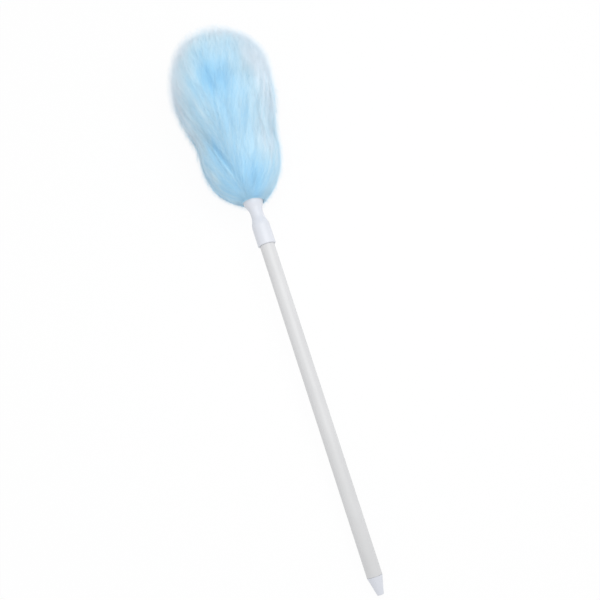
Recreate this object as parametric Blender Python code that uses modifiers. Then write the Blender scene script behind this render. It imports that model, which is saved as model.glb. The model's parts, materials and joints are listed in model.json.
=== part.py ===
"""Telescopic duster: a two-tube pole with an inner twist lock and a long-pile wool head.

Every piece stands along the pole's own axis, which is local Z of one empty, from the flat end
of the tip up to the wool. The empty lays the duster down as it rests on a table: on the lower
rim of the outer tube and on the underside of the wool. The world origin is the middle of the
tip's flat end, and local +X of the empty points down at the table.
"""

import math

import bmesh
import bpy
import numpy as np
from mathutils import Matrix

# Clearances and cutting
FIT_GAP = 0.0003
OVERRUN = 0.002
WELD_DISTANCE = 0.00001

# Facets of round pieces
ROUND_STEPS = 40
FASTENER_STEPS = 24
PIN_STEPS = 16
WOOL_STEPS = 64
STRIP_STEPS = 20
CURVE_STEPS = 6
SHARP_ANGLE = math.radians(35)

# Outer tube and its tip
OUTER_TUBE_RADIUS = 0.0110
OUTER_TUBE_WALL = 0.0006
OUTER_TUBE_LENGTH = 0.4987
TIP_LENGTH = 0.0250
TIP_END_RADIUS = 0.0046
TIP_EDGE = 0.0005
TIP_SPIGOT_LENGTH = 0.0300
TIP_CORE_RADIUS = 0.0070
TIP_CORE_FLOOR = 0.0050

# Guide bush in the upper end of the outer tube
BUSH_FLANGE_THICKNESS = 0.0030
BUSH_SLEEVE_LENGTH = 0.0280

# Inner tube
INNER_TUBE_RADIUS = 0.0080
INNER_TUBE_WALL = 0.0006
EXTENSION_TRAVEL = 0.3300

# Twist lock at the lower end of the inner tube
LOCK_FLANGE_THICKNESS = 0.0040
LOCK_SPIGOT_LENGTH = 0.0260
SPINDLE_RADIUS = 0.0030
SPINDLE_SEAT_DEPTH = 0.0220
SPINDLE_STUB = 0.0015
CROSS_PIN_RADIUS = 0.00125
CROSS_PIN_HEIGHT = 0.0120
THRUST_WASHER_RADIUS = 0.0080
WASHER_THICKNESS = 0.0010
EXPANDER_LENGTH = 0.0320
EXPANDER_BEARING_LENGTH = 0.0120
SLOT_WIDTH = 0.0020
SLOT_LENGTH = 0.0240
CONE_LENGTH = 0.0160
CONE_LOWER_RADIUS = 0.0072
CONE_UPPER_RADIUS = 0.0050
CONE_PROUD = 0.0024
KEY_REACH = 0.0090
KEY_LENGTH = 0.0080
KEY_RISE = 0.0040
CONE_TRAVEL = 0.0015
STOP_WASHER_RADIUS = 0.0065
STOP_NUT_ACROSS_FLATS = 0.0100
STOP_NUT_THICKNESS = 0.0040

# Collar between the pole and the wool
SKIRT_RADIUS = 0.0135
SKIRT_LENGTH = 0.0292
SKIRT_OVERLAP = 0.0092
SKIRT_RIM_ROUND = 0.0012
SHOULDER_LENGTH = 0.0180
WAIST_RADIUS = 0.00975
WAIST_LENGTH = 0.0060
FLARE_LENGTH = 0.0200
FLARE_RADIUS = 0.0153
FLARE_EDGE = 0.0007
SOCKET_DEPTH = 0.0424

# Screw that holds the collar, the inner tube and the rod together, on the underside
SCREW_HEIGHT = 0.0252
SCREW_SHANK_RADIUS = 0.0014
SCREW_HEAD_RADIUS = 0.0027
SCREW_HEAD_THICKNESS = 0.0016
SCREW_HEAD_SINK = 0.0004
SCREW_TIP_REACH = 0.0020
SCREW_POINT_LENGTH = 0.0020
RECESS_WIDTH = 0.0007
RECESS_SPAN = 0.0032
RECESS_DEPTH = 0.0008

# Rod, backing strip, end patch and tacks under the wool
ROD_TAIL = 0.0100
ROD_PROUD = 0.0010
BACKING_THICKNESS = 0.0012
BACKING_LENGTH = 0.2450
BACKING_TURNS = 8
BACKING_SEAM = 0.0008
TACK_SHANK_RADIUS = 0.0008
TACK_SHANK_LENGTH = 0.0050
TACK_HEAD_RADIUS = 0.0025
TACK_HEAD_THICKNESS = 0.0005
TACK_ANGLE = math.radians(30)

# Wool
WOOL_RADIUS = 0.0750
WOOL_LENGTH = 0.2800
WOOL_DROOP = 0.0075
WOOL_LEAN = 0.0120
WOOL_REST_RADIUS = 0.0730
WOOL_ROW_SPACING = 0.0088
LOCK_COUNT = 8
LOCK_DEPTH = 0.0030
LOCK_TWIST = math.radians(50)
lean_power_share = 1.0
parting_share = 0.8355
rest_share = 0.747911
wool_outline_shares = (
    (0.000, 0.234),
    (0.020, 0.320),
    (0.050, 0.450),
    (0.090, 0.570),
    (0.140, 0.685),
    (0.200, 0.760),
    (0.270, 0.808),
    (0.350, 0.830),
    (0.440, 0.900),
    (0.530, 0.970),
    (0.620, 1.000),
    (0.700, 1.000),
    (0.770, 0.985),
    (0.840, 0.925),
    (0.900, 0.795),
    (0.950, 0.595),
    (0.985, 0.350),
    (1.000, 0.000),
)

# Colours, as linear red, green and blue
WHITE_PAINT = (0.80, 0.81, 0.83)
PALE_PLASTIC = (0.78, 0.82, 0.90)
GREY_PLASTIC = (0.36, 0.38, 0.42)
STEEL = (0.56, 0.57, 0.58)
PALE_WOOD = (0.56, 0.38, 0.20)
HIDE = (0.70, 0.66, 0.56)
BLUE_WOOL = (0.38, 0.66, 0.89)

# Radii that follow from the tubes
outer_bore = OUTER_TUBE_RADIUS - OUTER_TUBE_WALL
inner_bore = INNER_TUBE_RADIUS - INNER_TUBE_WALL
sliding_radius = outer_bore - FIT_GAP
rod_radius = inner_bore - FIT_GAP
spindle_bore = SPINDLE_RADIUS + FIT_GAP
pin_hole = CROSS_PIN_RADIUS + FIT_GAP
backing_inner = rod_radius + FIT_GAP
backing_outer = backing_inner + BACKING_THICKNESS
wool_bore = backing_outer + FIT_GAP

# Heights along the pole, from the tip's flat end
tube_bottom = TIP_LENGTH + FIT_GAP
tube_top = tube_bottom + OUTER_TUBE_LENGTH
bush_seat = tube_top + FIT_GAP
bush_bottom = bush_seat - BUSH_SLEEVE_LENGTH
bush_top = bush_seat + BUSH_FLANGE_THICKNESS
lock_flange_top = bush_bottom - EXTENSION_TRAVEL - FIT_GAP
lock_flange_bottom = lock_flange_top - LOCK_FLANGE_THICKNESS
thrust_washer_bottom = lock_flange_bottom - FIT_GAP - WASHER_THICKNESS
expander_bottom = thrust_washer_bottom - FIT_GAP - EXPANDER_LENGTH
cone_bottom = expander_bottom - CONE_PROUD
stop_washer_bottom = cone_bottom - CONE_TRAVEL - FIT_GAP - WASHER_THICKNESS
stop_nut_bottom = stop_washer_bottom - FIT_GAP - STOP_NUT_THICKNESS
spindle_bottom = stop_nut_bottom - SPINDLE_STUB
spindle_top = lock_flange_top + SPINDLE_SEAT_DEPTH
cross_pin_height = lock_flange_top + CROSS_PIN_HEIGHT
skirt_bottom = tube_top - SKIRT_OVERLAP
skirt_recess_top = bush_top + FIT_GAP
shoulder_bottom = skirt_bottom + SKIRT_LENGTH
waist_bottom = shoulder_bottom + SHOULDER_LENGTH
flare_bottom = waist_bottom + WAIST_LENGTH
collar_top = flare_bottom + FLARE_LENGTH
socket_top = skirt_recess_top + SOCKET_DEPTH
inner_tube_bottom = lock_flange_top + FIT_GAP
inner_tube_top = socket_top - FIT_GAP
collar_screw_height = skirt_bottom + SCREW_HEIGHT
rod_bottom = collar_screw_height - ROD_TAIL
backing_bottom = collar_top + FIT_GAP
backing_top = backing_bottom + BACKING_LENGTH
rod_top = backing_top + ROD_PROUD
patch_bottom = rod_top + FIT_GAP
patch_top = patch_bottom + BACKING_THICKNESS
tack_head_bottom = patch_top + FIT_GAP
tack_head_top = tack_head_bottom + TACK_HEAD_THICKNESS
wool_bottom = collar_top - WOOL_DROOP
parting_height = wool_bottom + parting_share * WOOL_LENGTH

# The lie of the duster: the line from the tube's lower rim to the wool's resting place is level
rest_height = wool_bottom + rest_share * WOOL_LENGTH
rest_slope = (WOOL_REST_RADIUS - OUTER_TUBE_RADIUS) / (rest_height - TIP_LENGTH)
pole_rise = math.atan(rest_slope)


def collection_of(name):
    """A new collection in the scene."""
    collection = bpy.data.collections.new(name)
    bpy.context.scene.collection.children.link(collection)
    return collection


def material_of(name, colour, roughness, metallic=0.0):
    """A plain Principled material."""
    material = bpy.data.materials.new(name)
    material.use_nodes = True
    material.diffuse_color = (*colour, 1)
    shader = material.node_tree.nodes["Principled BSDF"]
    shader.inputs["Base Color"].default_value = (*colour, 1)
    shader.inputs["Roughness"].default_value = roughness
    shader.inputs["Metallic"].default_value = metallic
    return material


def place(name, mesh, height, collection):
    """Puts a mesh on the pole's axis, at a height above the tip's flat end."""
    piece = bpy.data.objects.new(name, mesh)
    collection.objects.link(piece)
    piece.parent = pole_axis
    piece.location.z = height
    return piece


def turned(name, bottom, outline, steps=ROUND_STEPS):
    """Turns an outline of (radius, height above the bottom) points about the axis.

    The outline runs down the piece's outer side. It closes on itself, unless it starts on the axis.
    """
    mesh = bpy.data.meshes.new(name)
    points = [(radius, 0, height) for radius, height in outline]
    last = len(points) - 1
    edges = [(i, i + 1) for i in range(last)]
    if outline[0][0] > 0:
        edges.append((last, 0))
    mesh.from_pydata(points, edges, [])
    piece = place(name, mesh, bottom, parts)
    screw = piece.modifiers.new("Turn", "SCREW")
    screw.axis = "Z"
    screw.steps = steps
    screw.render_steps = steps
    screw.use_merge_vertices = True
    screw.merge_threshold = WELD_DISTANCE
    return piece


def ring(name, bottom, outer, inner, length, steps=ROUND_STEPS):
    """A plain tube, washer or bush."""
    outline = [(outer, length), (outer, 0), (inner, 0), (inner, length)]
    return turned(name, bottom, outline, steps)


def rod_along(axis, name, height, radius, start, end, steps, collection):
    """A round bar from start to end along an axis, which crosses the pole's axis at a height."""
    bm = bmesh.new()
    turn = {"X": Matrix.Rotation(math.pi / 2, 4, "Y"), "Y": Matrix.Rotation(-math.pi / 2, 4, "X")}
    shift = Matrix.Translation((0, 0, (start + end) / 2))
    matrix = turn.get(axis, Matrix.Identity(4)) @ shift
    bmesh.ops.create_cone(
        bm,
        cap_ends=True,
        segments=steps,
        radius1=radius,
        radius2=radius,
        depth=end - start,
        matrix=matrix,
    )
    mesh = bpy.data.meshes.new(name)
    bm.to_mesh(mesh)
    bm.free()
    return place(name, mesh, height, collection)


def box_tool(name, height, size, centre=(0, 0, 0)):
    """A box that cuts or is joined, as a helper."""
    bm = bmesh.new()
    matrix = Matrix.Translation(centre) @ Matrix.Diagonal((*size, 1))
    bmesh.ops.create_cube(bm, size=1, matrix=matrix)
    mesh = bpy.data.meshes.new(name)
    bm.to_mesh(mesh)
    bm.free()
    return hidden(place(name, mesh, height, cutters))


def hidden(helper):
    """Marks a cutter, which is no part of the duster."""
    helper.hide_render = True
    helper.display_type = "WIRE"
    return helper


def combine(piece, helper, operation="DIFFERENCE"):
    """Cuts a helper out of a piece, or joins it on."""
    modifier = piece.modifiers.new(helper.name, "BOOLEAN")
    modifier.operation = operation
    modifier.solver = "EXACT"
    modifier.object = helper


def finish(piece, material):
    """Applies the modifiers, shades the piece smooth up to its corners and gives it a material."""
    graph = bpy.context.evaluated_depsgraph_get()
    mesh = bpy.data.meshes.new_from_object(piece.evaluated_get(graph))
    piece.modifiers.clear()
    piece.data = mesh
    mesh.shade_smooth()
    mesh.set_sharp_from_angle(angle=SHARP_ANGLE)
    mesh.materials.clear()
    mesh.materials.append(material)


def eased(start, end, length, base):
    """Points of a soft S curve from one radius to another, over a length above a base."""
    shares = [i / CURVE_STEPS for i in range(CURVE_STEPS + 1)]
    blends = [(1 - math.cos(math.pi * share)) / 2 for share in shares]
    return [(start + (end - start) * b, base + length * s) for s, b in zip(shares, blends)]


def make_tip_plug():
    """Plug with a blunt cone outside and a cored spigot inside the outer tube."""
    top = TIP_LENGTH + TIP_SPIGOT_LENGTH
    core_bottom = TIP_LENGTH + TIP_CORE_FLOOR
    outline = [
        (0, core_bottom),
        (TIP_CORE_RADIUS, core_bottom),
        (TIP_CORE_RADIUS, top),
        (sliding_radius, top),
        (sliding_radius, TIP_LENGTH),
        (OUTER_TUBE_RADIUS, TIP_LENGTH),
        (TIP_END_RADIUS, TIP_EDGE),
        (TIP_END_RADIUS - TIP_EDGE, 0),
        (0, 0),
    ]
    finish(turned("tip_plug", 0, outline), pale_plastic)


def make_outer_tube():
    """White tube that is the handle."""
    tube = ring("outer_tube", tube_bottom, OUTER_TUBE_RADIUS, outer_bore, OUTER_TUBE_LENGTH)
    finish(tube, white_paint)


def make_guide_bush():
    """Flanged bush in the upper end of the outer tube, in which the inner tube slides."""
    bore = INNER_TUBE_RADIUS + FIT_GAP
    top = bush_top - bush_bottom
    outline = [
        (OUTER_TUBE_RADIUS, top),
        (OUTER_TUBE_RADIUS, BUSH_SLEEVE_LENGTH),
        (sliding_radius, BUSH_SLEEVE_LENGTH),
        (sliding_radius, 0),
        (bore, 0),
        (bore, top),
    ]
    finish(turned("guide_bush", bush_bottom, outline), grey_plastic)


def make_inner_tube():
    """Steel tube that slides out of the handle and carries the head."""
    length = inner_tube_top - inner_tube_bottom
    tube = ring("inner_tube", inner_tube_bottom, INNER_TUBE_RADIUS, inner_bore, length)
    combine(tube, cross_pin_cutter)
    combine(tube, screw_shank_cutter)
    finish(tube, steel)


def make_lock_plug():
    """Plug in the lower end of the inner tube. Its flange stops the tube at the bush."""
    flange_top = LOCK_FLANGE_THICKNESS
    top = flange_top + LOCK_SPIGOT_LENGTH
    seat_top = flange_top + SPINDLE_SEAT_DEPTH + FIT_GAP
    outline = [
        (0, top),
        (rod_radius, top),
        (rod_radius, flange_top),
        (sliding_radius, flange_top),
        (sliding_radius, 0),
        (spindle_bore, 0),
        (spindle_bore, seat_top),
        (0, seat_top),
    ]
    plug = turned("lock_plug", lock_flange_bottom, outline)
    combine(plug, cross_pin_cutter)
    finish(plug, grey_plastic)


def make_lock_spindle():
    """Threaded spindle, pinned in the plug, that draws the cone nut into the sleeve."""
    spindle = rod_along(
        "Z",
        "lock_spindle",
        spindle_bottom,
        SPINDLE_RADIUS,
        0,
        spindle_top - spindle_bottom,
        FASTENER_STEPS,
        parts,
    )
    combine(spindle, cross_pin_cutter)
    finish(spindle, steel)


def make_cross_pin():
    """Pin through the inner tube, the plug and the spindle, flush with the tube."""
    reach = INNER_TUBE_RADIUS - FIT_GAP
    pin = rod_along(
        "Y", "cross_pin", cross_pin_height, CROSS_PIN_RADIUS, -reach, reach, PIN_STEPS, parts
    )
    finish(pin, steel)


def make_washers():
    """Thrust washer above the sleeve and stop washer under the cone nut."""
    thrust = ring(
        "thrust_washer",
        thrust_washer_bottom,
        THRUST_WASHER_RADIUS,
        spindle_bore,
        WASHER_THICKNESS,
        FASTENER_STEPS,
    )
    finish(thrust, steel)
    stop = ring(
        "stop_washer",
        stop_washer_bottom,
        STOP_WASHER_RADIUS,
        spindle_bore,
        WASHER_THICKNESS,
        FASTENER_STEPS,
    )
    finish(stop, steel)


def make_stop_nut():
    """Hexagon nut locked on the spindle's lower end."""
    corner_radius = STOP_NUT_ACROSS_FLATS / 2 / math.cos(math.pi / 6)
    nut = rod_along(
        "Z", "stop_nut", stop_nut_bottom, corner_radius, 0, STOP_NUT_THICKNESS, 6, parts
    )
    bore = rod_along(
        "Z",
        "stop_nut_bore",
        stop_nut_bottom,
        spindle_bore,
        -OVERRUN,
        STOP_NUT_THICKNESS + OVERRUN,
        FASTENER_STEPS,
        cutters,
    )
    combine(nut, hidden(bore))
    finish(nut, steel)


def cone_radius(height):
    """The cone nut's radius at a height above its lower end."""
    slope = (CONE_LOWER_RADIUS - CONE_UPPER_RADIUS) / CONE_LENGTH
    return CONE_LOWER_RADIUS - slope * height


def make_expander_sleeve():
    """Slotted sleeve that the cone nut spreads against the outer tube's bore."""
    taper_bottom = cone_radius(CONE_PROUD) + FIT_GAP
    taper_top = CONE_UPPER_RADIUS + FIT_GAP
    taper_length = CONE_LENGTH - CONE_PROUD
    bearing_bottom = EXPANDER_LENGTH - EXPANDER_BEARING_LENGTH
    outline = [
        (sliding_radius, EXPANDER_LENGTH),
        (sliding_radius, 0),
        (taper_bottom, 0),
        (taper_top, taper_length),
        (taper_top, bearing_bottom),
        (spindle_bore, bearing_bottom),
        (spindle_bore, EXPANDER_LENGTH),
    ]
    sleeve = turned("expander_sleeve", expander_bottom, outline)
    across = 2 * (OUTER_TUBE_RADIUS + OVERRUN)
    slot_height = SLOT_LENGTH + OVERRUN
    middle = (0, 0, SLOT_LENGTH - slot_height / 2)
    for name, size in (("slot_pair_x", (across, SLOT_WIDTH)), ("slot_pair_y", (SLOT_WIDTH, across))):
        combine(sleeve, box_tool(name, expander_bottom, (*size, slot_height), middle))
    finish(sleeve, pale_plastic)


def make_cone_nut():
    """Cone-shaped nut, keyed in the sleeve's slots so that it travels and doesn't turn."""
    outline = [
        (0, CONE_LENGTH),
        (CONE_UPPER_RADIUS, CONE_LENGTH),
        (CONE_LOWER_RADIUS, 0),
        (0, 0),
    ]
    cone = turned("cone_nut", cone_bottom, outline)
    key_width = SLOT_WIDTH - 2 * FIT_GAP
    across = 2 * KEY_REACH
    middle = (0, 0, KEY_RISE + KEY_LENGTH / 2)
    for name, size in (("key_pair_x", (across, key_width)), ("key_pair_y", (key_width, across))):
        combine(cone, box_tool(name, cone_bottom, (*size, KEY_LENGTH), middle), "UNION")
    bore = rod_along(
        "Z",
        "cone_nut_bore",
        cone_bottom,
        spindle_bore,
        -OVERRUN,
        CONE_LENGTH + OVERRUN,
        FASTENER_STEPS,
        cutters,
    )
    combine(cone, hidden(bore))
    finish(cone, grey_plastic)


def make_head_collar():
    """Turned collar: a skirt over the pole, a waist, and a flare that backs the wool."""
    skirt_bore = OUTER_TUBE_RADIUS + FIT_GAP
    socket_bore = INNER_TUBE_RADIUS + FIT_GAP
    rod_bore = rod_radius + FIT_GAP
    total = collar_top - skirt_bottom
    flare = eased(WAIST_RADIUS, FLARE_RADIUS, FLARE_LENGTH - FLARE_EDGE, flare_bottom - skirt_bottom)
    shoulder = eased(SKIRT_RADIUS, WAIST_RADIUS, SHOULDER_LENGTH, SKIRT_LENGTH)
    quarter = [math.pi / 2 * i / CURVE_STEPS for i in range(CURVE_STEPS + 1)]
    rim_centre = SKIRT_RADIUS - SKIRT_RIM_ROUND
    rim = [
        (
            rim_centre + SKIRT_RIM_ROUND * math.cos(turn),
            SKIRT_RIM_ROUND * (1 - math.sin(turn)),
        )
        for turn in quarter
    ]
    outline = [
        (FLARE_RADIUS - FLARE_EDGE, total),
        *reversed(flare),
        *reversed(shoulder),
        *rim,
        (skirt_bore, 0),
        (skirt_bore, skirt_recess_top - skirt_bottom),
        (socket_bore, skirt_recess_top - skirt_bottom),
        (socket_bore, socket_top - skirt_bottom),
        (rod_bore, socket_top - skirt_bottom),
        (rod_bore, total),
    ]
    collar = turned("head_collar", skirt_bottom, outline)
    combine(collar, screw_shank_cutter)
    combine(collar, screw_head_cutter)
    finish(collar, pale_plastic)


def make_collar_screw():
    """Pointed screw from the underside of the skirt into the rod, with a cross recess."""
    head_top = SKIRT_RADIUS - SCREW_HEAD_SINK
    head_bottom = head_top - SCREW_HEAD_THICKNESS
    outline = [
        (0, head_top),
        (SCREW_HEAD_RADIUS, head_top),
        (SCREW_HEAD_RADIUS, head_bottom),
        (SCREW_SHANK_RADIUS, head_bottom),
        (SCREW_SHANK_RADIUS, SCREW_TIP_REACH + SCREW_POINT_LENGTH),
        (0, SCREW_TIP_REACH),
    ]
    screw = turned("collar_screw", collar_screw_height, outline, FASTENER_STEPS)
    screw.rotation_euler.y = math.pi / 2
    depth = RECESS_DEPTH + OVERRUN
    middle = (head_top + OVERRUN - depth / 2, 0, 0)
    along = (depth, RECESS_SPAN, RECESS_WIDTH)
    across = (depth, RECESS_WIDTH, RECESS_SPAN)
    combine(screw, box_tool("recess_along", collar_screw_height, along, middle))
    combine(screw, box_tool("recess_across", collar_screw_height, across, middle))
    finish(screw, steel)


def make_core_rod():
    """Wooden rod from inside the collar up to the end of the wool."""
    rod = rod_along(
        "Z", "core_rod", rod_bottom, rod_radius, 0, rod_top - rod_bottom, ROUND_STEPS, parts
    )
    combine(rod, screw_shank_cutter)
    combine(rod, tack_hole_cutter)
    combine(rod, end_tack_hole_cutter)
    finish(rod, pale_wood)


def make_pile_backing():
    """Strip of hide wound round the rod, edge to edge, which the wool grows from."""
    pitch = (BACKING_LENGTH + BACKING_SEAM) / (BACKING_TURNS + 1)
    mesh = bpy.data.meshes.new("pile_backing")
    width = pitch - BACKING_SEAM
    mesh.from_pydata([(backing_inner, 0, width), (backing_inner, 0, 0)], [(0, 1)], [])
    strip = place("pile_backing", mesh, backing_bottom, parts)
    screw = strip.modifiers.new("Wind", "SCREW")
    screw.axis = "Z"
    screw.screw_offset = pitch
    screw.iterations = BACKING_TURNS
    screw.steps = STRIP_STEPS
    screw.render_steps = STRIP_STEPS
    screw.use_merge_vertices = False
    wall = strip.modifiers.new("Hide", "SOLIDIFY")
    wall.thickness = BACKING_THICKNESS
    wall.offset = 1
    combine(strip, tack_head_cutter)
    finish(strip, hide)


def tack_outline(head_top):
    """A flat-headed tack, point down, with its head's top at a height."""
    head_bottom = head_top - TACK_HEAD_THICKNESS
    point_top = head_bottom - TACK_SHANK_LENGTH + 2 * TACK_SHANK_RADIUS
    return [
        (0, head_top),
        (TACK_HEAD_RADIUS, head_top),
        (TACK_HEAD_RADIUS, head_bottom),
        (TACK_SHANK_RADIUS, head_bottom),
        (TACK_SHANK_RADIUS, point_top),
        (0, head_bottom - TACK_SHANK_LENGTH),
    ]


def make_tacks():
    """Tack that pins the strip's lower end, and tack that pins the end patch."""
    start = turned("strip_tack", tack_height, tack_outline(strip_tack_reach), PIN_STEPS)
    start.rotation_euler = (0, math.pi / 2, TACK_ANGLE)
    finish(start, steel)
    end = turned("end_tack", tack_head_top, tack_outline(0), PIN_STEPS)
    finish(end, steel)


def make_end_patch():
    """Round of hide on the rod's end, which the tuft over the end grows from."""
    hole = TACK_SHANK_RADIUS + FIT_GAP
    patch = ring("end_patch", patch_bottom, backing_outer, hole, BACKING_THICKNESS, FASTENER_STEPS)
    finish(patch, hide)


def wool_outline():
    """Radius and height of the wool's rows, evenly spaced along a smooth curve through its shares."""
    shares = np.array(wool_outline_shares)
    points = shares * (WOOL_LENGTH, WOOL_RADIUS)
    steps = np.hypot(*np.diff(points, axis=0).T)
    reach = np.concatenate([[0], np.cumsum(steps)])
    rows = np.linspace(0, reach[-1], round(reach[-1] / WOOL_ROW_SPACING) + 1)
    slopes = np.gradient(points, reach, axis=0)
    span = np.clip(np.searchsorted(reach, rows, side="right") - 1, 0, len(steps) - 1)
    share = ((rows - reach[span]) / steps[span])[:, None]
    step = steps[span][:, None]
    ahead = share * share * (3 - 2 * share)
    leave = share * (1 - share) ** 2 * step
    arrive = share * share * (share - 1) * step
    curve = points[span] * (1 - ahead) + points[span + 1] * ahead
    curve += slopes[span] * leave + slopes[span + 1] * arrive
    heights, radii = curve.T
    return np.maximum(radii, 0), wool_bottom + heights


def shape_wool(piece, inner_radius, inner_top):
    """Moves the outer surface of a wool solid into locks, leans it and flattens its underside.

    A lock is a ridge between two grooves that wind slowly round the head, deepest in mid-length.
    The head leans to -Y with a power of the height, and nothing reaches below the table.
    """
    mesh = piece.data
    places = np.empty(len(mesh.vertices) * 3)
    mesh.vertices.foreach_get("co", places)
    x, y, z = places.reshape(-1, 3).T
    radius = np.hypot(x, y)
    height = z + piece.location.z
    outer = (radius > inner_radius + FIT_GAP / 2) | (height > inner_top + FIT_GAP / 2)
    share = np.clip((height - wool_bottom) / WOOL_LENGTH, 0, 1)
    turn = np.arctan2(y, x) + LOCK_TWIST * share
    groove = (1 - np.abs(np.cos(LOCK_COUNT / 2 * turn))) ** 2
    depth = LOCK_DEPTH * groove * np.sin(math.pi * share)
    scale = np.where(outer, 1 - depth / np.maximum(radius, WOOL_REST_RADIUS / 2), 1)
    lean = np.where(outer, WOOL_LEAN * share**lean_power_share, 0)
    table = OUTER_TUBE_RADIUS + (height - TIP_LENGTH) * rest_slope
    moved_x = np.where(outer, np.minimum(x * scale, table), x)
    moved = np.stack([moved_x, y * scale - lean, z], axis=1)
    mesh.vertices.foreach_set("co", moved.ravel())
    mesh.update()


def make_wool():
    """Long blue pile of the wound strip, and the tuft of the end patch above the parting."""
    radii, heights = wool_outline()
    tuft_bottom = parting_height + FIT_GAP
    flare_recess = FLARE_RADIUS + FIT_GAP
    flare_recess_top = collar_top + FIT_GAP

    below = [(r, h) for r, h in zip(radii, heights) if h < parting_height - WOOL_ROW_SPACING / 2]
    outline = [
        (np.interp(parting_height, heights, radii), parting_height),
        *reversed(below),
        (flare_recess, wool_bottom),
        (flare_recess, flare_recess_top),
        (wool_bore, flare_recess_top),
        (wool_bore, parting_height),
    ]
    outline = [(radius, height - wool_bottom) for radius, height in outline]
    pile = turned("wool_pile", wool_bottom, outline, WOOL_STEPS)
    finish(pile, blue_wool)
    shape_wool(pile, wool_bore, parting_height)

    above = [(r, h) for r, h in zip(radii, heights) if h > tuft_bottom + WOOL_ROW_SPACING / 2]
    recess_top = tack_head_top + FIT_GAP
    outline = [
        *reversed(above),
        (np.interp(tuft_bottom, heights, radii), tuft_bottom),
        (wool_bore, tuft_bottom),
        (wool_bore, recess_top),
        (0, recess_top),
    ]
    outline = [(radius, height - tuft_bottom) for radius, height in outline]
    tuft = turned("end_tuft", tuft_bottom, outline, WOOL_STEPS)
    finish(tuft, blue_wool)
    shape_wool(tuft, wool_bore, recess_top)


for old in list(bpy.data.objects):
    bpy.data.objects.remove(old)

parts = collection_of("telescopic_duster")
cutters = collection_of("cutters")

pole_axis = bpy.data.objects.new("pole_axis", None)
parts.objects.link(pole_axis)
pole_axis.rotation_euler.y = math.pi / 2 - pole_rise

white_paint = material_of("white_paint", WHITE_PAINT, 0.35)
pale_plastic = material_of("pale_plastic", PALE_PLASTIC, 0.40)
grey_plastic = material_of("grey_plastic", GREY_PLASTIC, 0.45)
steel = material_of("steel", STEEL, 0.30, 1.0)
pale_wood = material_of("pale_wood", PALE_WOOD, 0.60)
hide = material_of("hide", HIDE, 0.80)
blue_wool = material_of("blue_wool", BLUE_WOOL, 0.90)

cutter_reach = FLARE_RADIUS + OVERRUN
cross_pin_cutter = hidden(
    rod_along(
        "Y",
        "cross_pin_hole",
        cross_pin_height,
        pin_hole,
        -cutter_reach,
        cutter_reach,
        PIN_STEPS,
        cutters,
    )
)
screw_shank_cutter = hidden(
    rod_along(
        "X",
        "screw_shank_hole",
        collar_screw_height,
        SCREW_SHANK_RADIUS + FIT_GAP,
        SCREW_TIP_REACH - FIT_GAP,
        cutter_reach,
        FASTENER_STEPS,
        cutters,
    )
)
screw_head_cutter = hidden(
    rod_along(
        "X",
        "screw_head_hole",
        collar_screw_height,
        SCREW_HEAD_RADIUS + FIT_GAP,
        SKIRT_RADIUS - SCREW_HEAD_SINK - SCREW_HEAD_THICKNESS - FIT_GAP,
        cutter_reach,
        FASTENER_STEPS,
        cutters,
    )
)

tack_height = backing_bottom + BACKING_LENGTH / (BACKING_TURNS + 1) / 2
tack_depth = TACK_HEAD_THICKNESS + TACK_SHANK_LENGTH + FIT_GAP
strip_tack_reach = backing_outer - TACK_HEAD_THICKNESS
tack_hole_cutter = hidden(
    rod_along(
        "X",
        "strip_tack_hole",
        tack_height,
        TACK_SHANK_RADIUS + FIT_GAP,
        strip_tack_reach - tack_depth,
        cutter_reach,
        PIN_STEPS,
        cutters,
    )
)
tack_hole_cutter.rotation_euler.z = TACK_ANGLE
tack_head_cutter = hidden(
    rod_along(
        "X",
        "strip_tack_head_hole",
        tack_height,
        TACK_HEAD_RADIUS + FIT_GAP,
        0,
        cutter_reach,
        PIN_STEPS,
        cutters,
    )
)
tack_head_cutter.rotation_euler.z = TACK_ANGLE
end_tack_hole_cutter = hidden(
    rod_along(
        "Z",
        "end_tack_hole",
        tack_head_top,
        TACK_SHANK_RADIUS + FIT_GAP,
        -tack_depth,
        OVERRUN,
        PIN_STEPS,
        cutters,
    )
)

make_tip_plug()
make_outer_tube()
make_guide_bush()
make_expander_sleeve()
make_cone_nut()
make_inner_tube()
make_lock_plug()
make_cross_pin()
make_lock_spindle()
make_washers()
make_stop_nut()
make_head_collar()
make_collar_screw()
make_core_rod()
make_pile_backing()
make_tacks()
make_end_patch()
make_wool()
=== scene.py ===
"""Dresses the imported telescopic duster: painted pole, moulded fittings and a head of blue wool."""

import json
import math

import bpy
import numpy as np
from mathutils import Matrix, Vector


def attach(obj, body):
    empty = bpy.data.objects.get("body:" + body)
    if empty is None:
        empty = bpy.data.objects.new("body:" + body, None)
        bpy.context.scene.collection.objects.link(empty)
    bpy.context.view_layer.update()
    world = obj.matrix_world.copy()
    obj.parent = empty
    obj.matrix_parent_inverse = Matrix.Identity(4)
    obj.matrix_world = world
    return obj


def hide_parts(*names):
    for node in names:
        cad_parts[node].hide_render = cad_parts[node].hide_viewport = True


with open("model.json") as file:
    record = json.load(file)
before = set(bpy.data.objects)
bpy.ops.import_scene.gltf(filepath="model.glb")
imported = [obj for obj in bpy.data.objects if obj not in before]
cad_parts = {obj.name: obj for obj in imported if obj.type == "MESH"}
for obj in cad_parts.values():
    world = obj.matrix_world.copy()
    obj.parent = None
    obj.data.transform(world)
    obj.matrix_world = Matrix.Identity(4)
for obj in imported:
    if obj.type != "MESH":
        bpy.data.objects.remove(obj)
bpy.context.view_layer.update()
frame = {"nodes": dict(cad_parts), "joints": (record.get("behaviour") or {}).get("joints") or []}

# Outer tube: the handle, a thin steel tube of 22 mm with baked white paint that has the faint
# orange peel of a sprayed coat. Its ends are cut square and slightly broken.
tube_radius, tube_bore, tube_edge = 0.0110, 0.0104, 0.0002
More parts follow.
